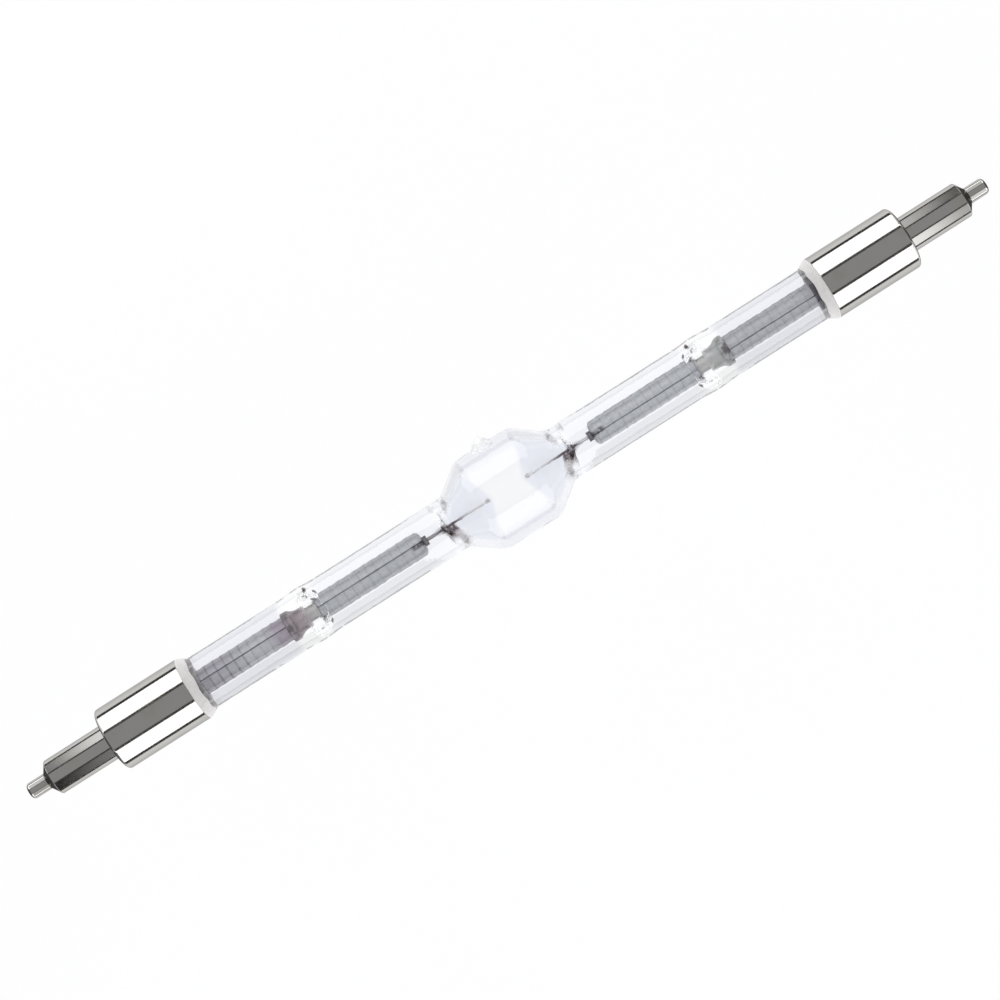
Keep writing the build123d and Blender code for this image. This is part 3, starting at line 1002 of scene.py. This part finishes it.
def link(sizes):
    """Turned link: flange, rod, flare to the bell, and bell."""
    rod_x = LINK_START + sizes.flange
    flare_x = flare_start(sizes)
    rise = BELL_RADIUS - sizes.link_rod
    bend = (sizes.flare**2 + rise**2) / (2 * rise)
    sweep = 2 * math.atan(rise / sizes.flare)
    turns = [sweep * step / FLARE_STEPS for step in range(FLARE_STEPS)]
    curve = [
        (flare_x + bend * math.sin(turn), sizes.link_rod + bend * (1 - math.cos(turn)), 0) for turn in turns
    ]
    return turned([
        (LINK_START, 0, 0),
        (LINK_START, sizes.flange_radius, FLANGE_EDGE),
        (rod_x, sizes.flange_radius, FLANGE_EDGE),
        (rod_x, sizes.link_rod, FLANGE_ROOT),
        *curve,
        (flare_x + sizes.flare, BELL_RADIUS, FLARE_END),
        (LINK_END, BELL_RADIUS, BELL_EDGE),
        (LINK_END, 0, 0),
    ], sizes.steps)


class BULB_OT_links(bpy.types.Operator):
    """Turned links between the inner and the outer seals"""

    bl_idname = "bulb.links"
    bl_label = "Links"

    def execute(self, context):
        sizes = context.scene.bulb_seals
        place_ends("seal_link", "link", finish(turned_molybdenum), "molybdenum", link, sizes)
        return {"FINISHED"}


def terminal_disc(sizes):
    """Disc at the outer seal's outer end."""
    return turned([
        (DISC_START, 0, 0),
        (DISC_START, DISC_RADIUS, DISC_EDGE),
        (DISC_END, DISC_RADIUS, DISC_EDGE),
        (DISC_END, 0, 0),
    ], sizes.steps)


class BULB_OT_terminals(bpy.types.Operator):
    """Terminal discs, and the finish of the lead rods inside the caps"""

    bl_idname = "bulb.terminals"
    bl_label = "Terminals"

    def execute(self, context):
        sizes = context.scene.bulb_seals
        metal = finish(turned_molybdenum)
        place_ends("seal_disc", "terminal_disc", metal, "molybdenum", terminal_disc, sizes)
        for end in ENDS:
            lead = frame["nodes"][f"{end}_lead_rod"]
            lead.data.materials.clear()
            lead.data.materials.append(metal)
        return {"FINISHED"}


def cement(sizes, quartz):
    """Cement between stem and sleeve with a grainy collar, pressed onto the quartz."""
    inner = quartz.stem_radius - CEMENT_SUNK
    bore = SLEEVE_RADIUS - sizes.wall
    bm = wire([
        (CEMENT_START, inner, 0),
        (CEMENT_START, quartz.stem_radius + sizes.cement_lip, CEMENT_LIP_EDGE),
        (CEMENT_START + sizes.cement_taper, SLEEVE_RADIUS, CEMENT_EDGE),
        (SLEEVE_START, SLEEVE_RADIUS - CEMENT_STEP, 0),
        (SLEEVE_START, bore, 0),
        (STEM_END, bore, 0),
        (STEM_END, inner, 0),
    ], closed=True)
    divide(bm, CEMENT_CUT)
    spun(bm, sizes.steps)
    for vert in bm.verts:
        out = Vector((0, vert.co.y, vert.co.z))
        if vert.co.x < SLEEVE_START and out.length > quartz.stem_radius:
            grain = 1 + noise.noise(vert.co / GRAIN_SIZE)
            vert.co -= out.normalized() * sizes.cement_grain * grain
        edge = 1 - smooth_step(CEMENT_START, CEMENT_START + sizes.cement_taper, vert.co.x)
        stray = 0.5 + 0.5 * noise.noise(out / BAY_SIZE)
        vert.co.x -= edge * sizes.cement_creep * stray
    return bm


class BULB_OT_cement(bpy.types.Operator):
    """Cement rings that hold the sleeves on the stems"""

    bl_idname = "bulb.cement"
    bl_label = "Cement"

    def execute(self, context):
        sizes, quartz = context.scene.bulb_caps, context.scene.bulb_quartz
        place_ends("cement_ring", "cement", finish(pale_cement), "cement", cement, sizes, quartz)
        return {"FINISHED"}


def sleeve(sizes):
    """Drawn shell with a rounded rim, a rounded closed edge and the spigot's hole."""
    bore = SLEEVE_RADIUS - sizes.wall
    floor_x = SLEEVE_END - sizes.end_wall
    return turned([
        (SLEEVE_START, bore, sizes.rim),
        (SLEEVE_START, SLEEVE_RADIUS, sizes.rim),
        (SLEEVE_END, SLEEVE_RADIUS, sizes.edge),
        (SLEEVE_END, sizes.spigot, 0),
        (floor_x, sizes.spigot, 0),
        (floor_x, bore, SLEEVE_FLOOR_EDGE),
    ], sizes.steps, closed=True)


class BULB_OT_sleeves(bpy.types.Operator):
    """Plated sleeves of the caps"""

    bl_idname = "bulb.sleeves"
    bl_label = "Sleeves"

    def execute(self, context):
        sizes = context.scene.bulb_caps
        place_ends("cap_sleeve", "sleeve", finish(bright_nickel), "nickel_plate", sleeve, sizes)
        return {"FINISHED"}


def contact_pin(sizes):
    """Turned pin: peened head, spigot, contact cylinder, coned end and thin rounded tip."""
    floor_x = SLEEVE_END - sizes.end_wall
    face_x = PIN_END + sizes.cone
    return turned([
        (PIN_START, 0, 0),
        (PIN_START, PIN_HEAD_RADIUS, PIN_HEAD_EDGE),
        (floor_x, PIN_HEAD_RADIUS, 0),
        (floor_x, sizes.spigot, 0),
        (SLEEVE_END, sizes.spigot, 0),
        (SLEEVE_END, PIN_RADIUS - sizes.seam, 0),
        (SLEEVE_END + sizes.seam, PIN_RADIUS, PIN_EDGE),
        (PIN_END, PIN_RADIUS, sizes.cone_edge),
        (face_x, sizes.tip, sizes.tip_fillet),
        (TIP_END, sizes.tip, sizes.tip_edge),
        (TIP_END, 0, 0),
    ], sizes.steps)


class BULB_OT_pins(bpy.types.Operator):
    """Plated contact pins with thin tips"""

    bl_idname = "bulb.pins"
    bl_label = "Contact pins"

    def execute(self, context):
        sizes = context.scene.bulb_caps
        place_ends("cap_pin", "contact_pin", finish(bright_nickel), "nickel_plate", contact_pin, sizes)
        return {"FINISHED"}


# Stage

# Greys that each pin reflects, as (end, side, at the sleeve, at the coned end, on the thin tip).
PIN_FLAGS = (
    (-1, 1, 1.02, 0.25, 0.85),
    (-1, -1, 0.23, 0.01, 0.56),
    (1, 1, 0.66, 0.12, 0.68),
    (1, -1, 1.31, 0.58, 1.00),
)

# Height of the cards' feet over the floor, so that they don't lie in it.
CARD_LIFT = 1 * MM


def bare(owner):
    """The emptied nodes of a material or a world."""
    owner.use_nodes = True
    owner.node_tree.nodes.clear()
    return Nodes(owner.node_tree)


def card(name, foot, head, across, shade, sees):
    """A flat glowing rectangle, from the middle of one edge to the other, for the kinds of ray in sees."""
    up = head - foot
    turn = Matrix((across, up, across.cross(up))).transposed().to_4x4()
    at_middle = Matrix.Translation((foot + head) / 2) @ turn
    bm = bmesh.new()
    bmesh.ops.create_grid(bm, x_segments=1, y_segments=1, size=0.5, matrix=at_middle)
    piece = add_object(name, bm, glow(name, shade))
    piece.visible_camera = False
    piece.visible_diffuse = "diffuse" in sees
    piece.visible_glossy = "glossy" in sees
    piece.visible_transmission = "transmission" in sees
    piece.visible_shadow = False


def glow(name, shade):
    """A material that only gives light, in the colour that a function works out."""
    material = bpy.data.materials.new(name)
    nodes = bare(material)
    light = nodes.add("ShaderNodeEmission", inputs={"Color": shade(nodes)})
    nodes.add("ShaderNodeOutputMaterial", inputs={"Surface": light})
    return material


def grey(level):
    """A colour without a tint."""
    return (level, level, level)


def plain(level):
    """A shade that is the same grey all over."""
    return lambda nodes: grey(level)


def softbox(side, sizes):
    """One softbox with the dark bars of its frame, as the metal reflects it."""
    across = Vector((sizes.box_length, 0, 0))
    top = sizes.box_high + sizes.bar_height
    for part, low, high, level, sees in (
        ("panel", sizes.box_low, sizes.box_high, sizes.box_light, ("diffuse", "glossy")),
        ("head", sizes.box_high, top, sizes.dark, ("glossy",)),
        ("foot", -sizes.floor_drop, sizes.box_low, sizes.dark, ("glossy",)),
    ):
        foot, head = (Vector((0, side * sizes.box_distance, height)) for height in (low, high))
        card(f"softbox_{part}_{side:+d}", foot, head, across, plain(level), sees)


def edge_flag(end, side, sizes):
    """Two grey flags that draw the edges of one stem's glass, with a gap where the hollow is bright."""
    shade = plain(sizes.flag_grey)
    gap_end = sizes.flag_gap + sizes.flag_gap_width
    for part, start, stop in (("near", sizes.flag_start, sizes.flag_gap), ("far", gap_end, sizes.flag_end)):
        middle_x = end * (start + stop) / 2
        foot = Vector((middle_x, side * sizes.flag_near, CARD_LIFT - sizes.floor_drop))
        head = Vector((middle_x, side * sizes.box_distance, sizes.flag_head))
        across = Vector((stop - start, 0, 0))
        card(f"edge_flag_{part}_{end:+d}_{side:+d}", foot, head, across, shade, ("transmission",))


def veil(end, sizes):
    """A pale grey sheet on the floor on a stem's +Y side, which dims the other half of its glass."""
    middle_x = end * (sizes.veil_start + sizes.flag_end) / 2
    height = CARD_LIFT - sizes.floor_drop
    foot, head = (Vector((middle_x, y, height)) for y in (sizes.veil_near, sizes.flag_near))
    across = Vector((sizes.flag_end - sizes.veil_start, 0, 0))
    card(f"veil_{end:+d}", foot, head, across, plain(sizes.veil_grey), ("transmission",))


def end_flag(end, sizes):
    """A dark flag past one cap that darkens the ends of sleeve and pin."""
    foot = Vector((end * sizes.end_near, 0, 2 * CARD_LIFT - sizes.floor_drop))
    head = Vector((end * sizes.end_far, 0, sizes.end_head))
    across = Vector((0, sizes.end_width, 0))
    card(f"end_flag_{end:+d}", foot, head, across, plain(sizes.end_grey), ("glossy",))


def pin_flag(end, side, sizes, near, far, tip):
    """A card beside a pin, from one grey at the sleeve to another at the coned end, and one for its tip."""
    start, stop = sizes.pin_flag_start, sizes.pin_flag_end

    def fading(nodes):
        return nodes.blend(grey(near), grey(far), nodes.rise(end * nodes.along(), (start / MM, stop / MM)))

    for part, inner, outer, shade in (
        ("pin", start, stop, fading),
        ("tip", stop, sizes.tip_flag_end, plain(tip)),
    ):
        middle_x, y = end * (inner + outer) / 2, side * sizes.pin_flag_gap
        foot, head = (Vector((middle_x, y, height)) for height in (sizes.pin_flag_low, sizes.pin_flag_high))
        across = Vector((outer - inner, 0, 0))
        card(f"{part}_flag_{end:+d}_{side:+d}", foot, head, across, shade, ("glossy",))


def studio_floor_piece(sizes):
    """Wide pale floor under the bulb."""
    bm = bmesh.new()
    bmesh.ops.create_grid(bm, x_segments=1, y_segments=1, size=sizes.floor_size / 2)
    bmesh.ops.translate(bm, verts=bm.verts, vec=(0, 0, -sizes.floor_drop))
    add_object("studio_floor", bm, finish(studio_floor))


def studio_world(sizes):
    """Pale backdrop for what is seen straight or through glass, and a grey ceiling for reflections."""
    world = bpy.data.worlds.new("studio")
    nodes = bare(world)
    straight = nodes.add("ShaderNodeLightPath", output="Is Camera Ray")
    through = nodes.add("ShaderNodeLightPath", output="Is Transmission Ray")
    ceiling = nodes.add("ShaderNodeBackground", inputs={"Color": grey(sizes.ceiling)})
    backdrop = nodes.add("ShaderNodeBackground", inputs={"Color": grey(sizes.backdrop)})
    seen = nodes.add("ShaderNodeMixShader", inputs={0: straight + through, 1: ceiling, 2: backdrop})
    nodes.add("ShaderNodeOutputWorld", inputs={"Surface": seen})
    bpy.context.scene.world = world


def studio_camera(sizes):
    """Camera straight above the bulb, turned so that the axis rises to the right."""
    data = bpy.data.cameras.new("studio_camera")
    data.lens = data.sensor_width * sizes.camera_height / sizes.view_width
    camera = bpy.data.objects.new("studio_camera", data)
    turn = Matrix.Rotation(-sizes.tilt, 4, "Z")
    camera.location = turn @ Vector((-sizes.offset_right, -sizes.offset_up, sizes.camera_height))
    camera.rotation_euler = turn.to_euler()
    bpy.context.scene.collection.objects.link(camera)
    bpy.context.scene.camera = camera


def long_light_paths(cycles):
    """Lets light that is caught in the quartz find its way out."""
    cycles.max_bounces = 48
    cycles.glossy_bounces = 40
    cycles.transmission_bounces = 40


class BULB_OT_stage(bpy.types.Operator):
    """Pale floor, softboxes, flags and veils, backdrop and camera"""

    bl_idname = "bulb.stage"
    bl_label = "Stage"

    def execute(self, context):
        sizes = context.scene.bulb_stage
        studio_floor_piece(sizes)
        for side in (-1, 1):
            softbox(side, sizes)
            end_flag(side, sizes)
            veil(side, sizes)
        for end, side, near, far, tip in PIN_FLAGS:
            pin_flag(end, side, sizes, near, far, tip)
            edge_flag(end, side, sizes)
        studio_world(sizes)
        studio_camera(sizes)
        context.scene.view_settings.view_transform = "Standard"
        long_light_paths(context.scene.cycles)
        return {"FINISHED"}


# Add-on

OPERATORS = (
    BULB_OT_quartz,
    BULB_OT_electrodes,
    BULB_OT_foils,
    BULB_OT_links,
    BULB_OT_terminals,
    BULB_OT_cement,
    BULB_OT_sleeves,
    BULB_OT_pins,
    BULB_OT_stage,
)

GROUPS = {
    "bulb_quartz": BulbQuartz,
    "bulb_seals": BulbSeals,
    "bulb_caps": BulbCaps,
    "bulb_looks": BulbLooks,
    "bulb_stage": BulbStage,
}


class BULB_PT_panel(bpy.types.Panel):
    """Lists the bulb's pieces and the stage"""

    bl_idname = "BULB_PT_panel"
    bl_label = "Metal halide bulb"
    bl_space_type = "VIEW_3D"
    bl_region_type = "UI"
    bl_category = "Bulb"

    def draw(self, context):
        for operator in OPERATORS:
            self.layout.operator(operator.bl_idname)
        for name, group in GROUPS.items():
            box = self.layout.box()
            box.label(text=group.__doc__)
            for entry in group.__annotations__:
                box.prop(getattr(context.scene, name), entry)


def register():
    for group in GROUPS.values():
        bpy.utils.register_class(group)
    for name, group in GROUPS.items():
        setattr(bpy.types.Scene, name, PointerProperty(type=group))
    for operator in OPERATORS:
        bpy.utils.register_class(operator)
    bpy.utils.register_class(BULB_PT_panel)


def unregister():
    bpy.utils.unregister_class(BULB_PT_panel)
    for operator in reversed(OPERATORS):
        bpy.utils.unregister_class(operator)
    for name in GROUPS:
        delattr(bpy.types.Scene, name)
    for group in reversed(GROUPS.values()):
        bpy.utils.unregister_class(group)


def main():
    register()
    for operator in OPERATORS:
        family, name = operator.bl_idname.split(".")
        getattr(getattr(bpy.ops, family), name)()


if __name__ == "__main__":
    main()
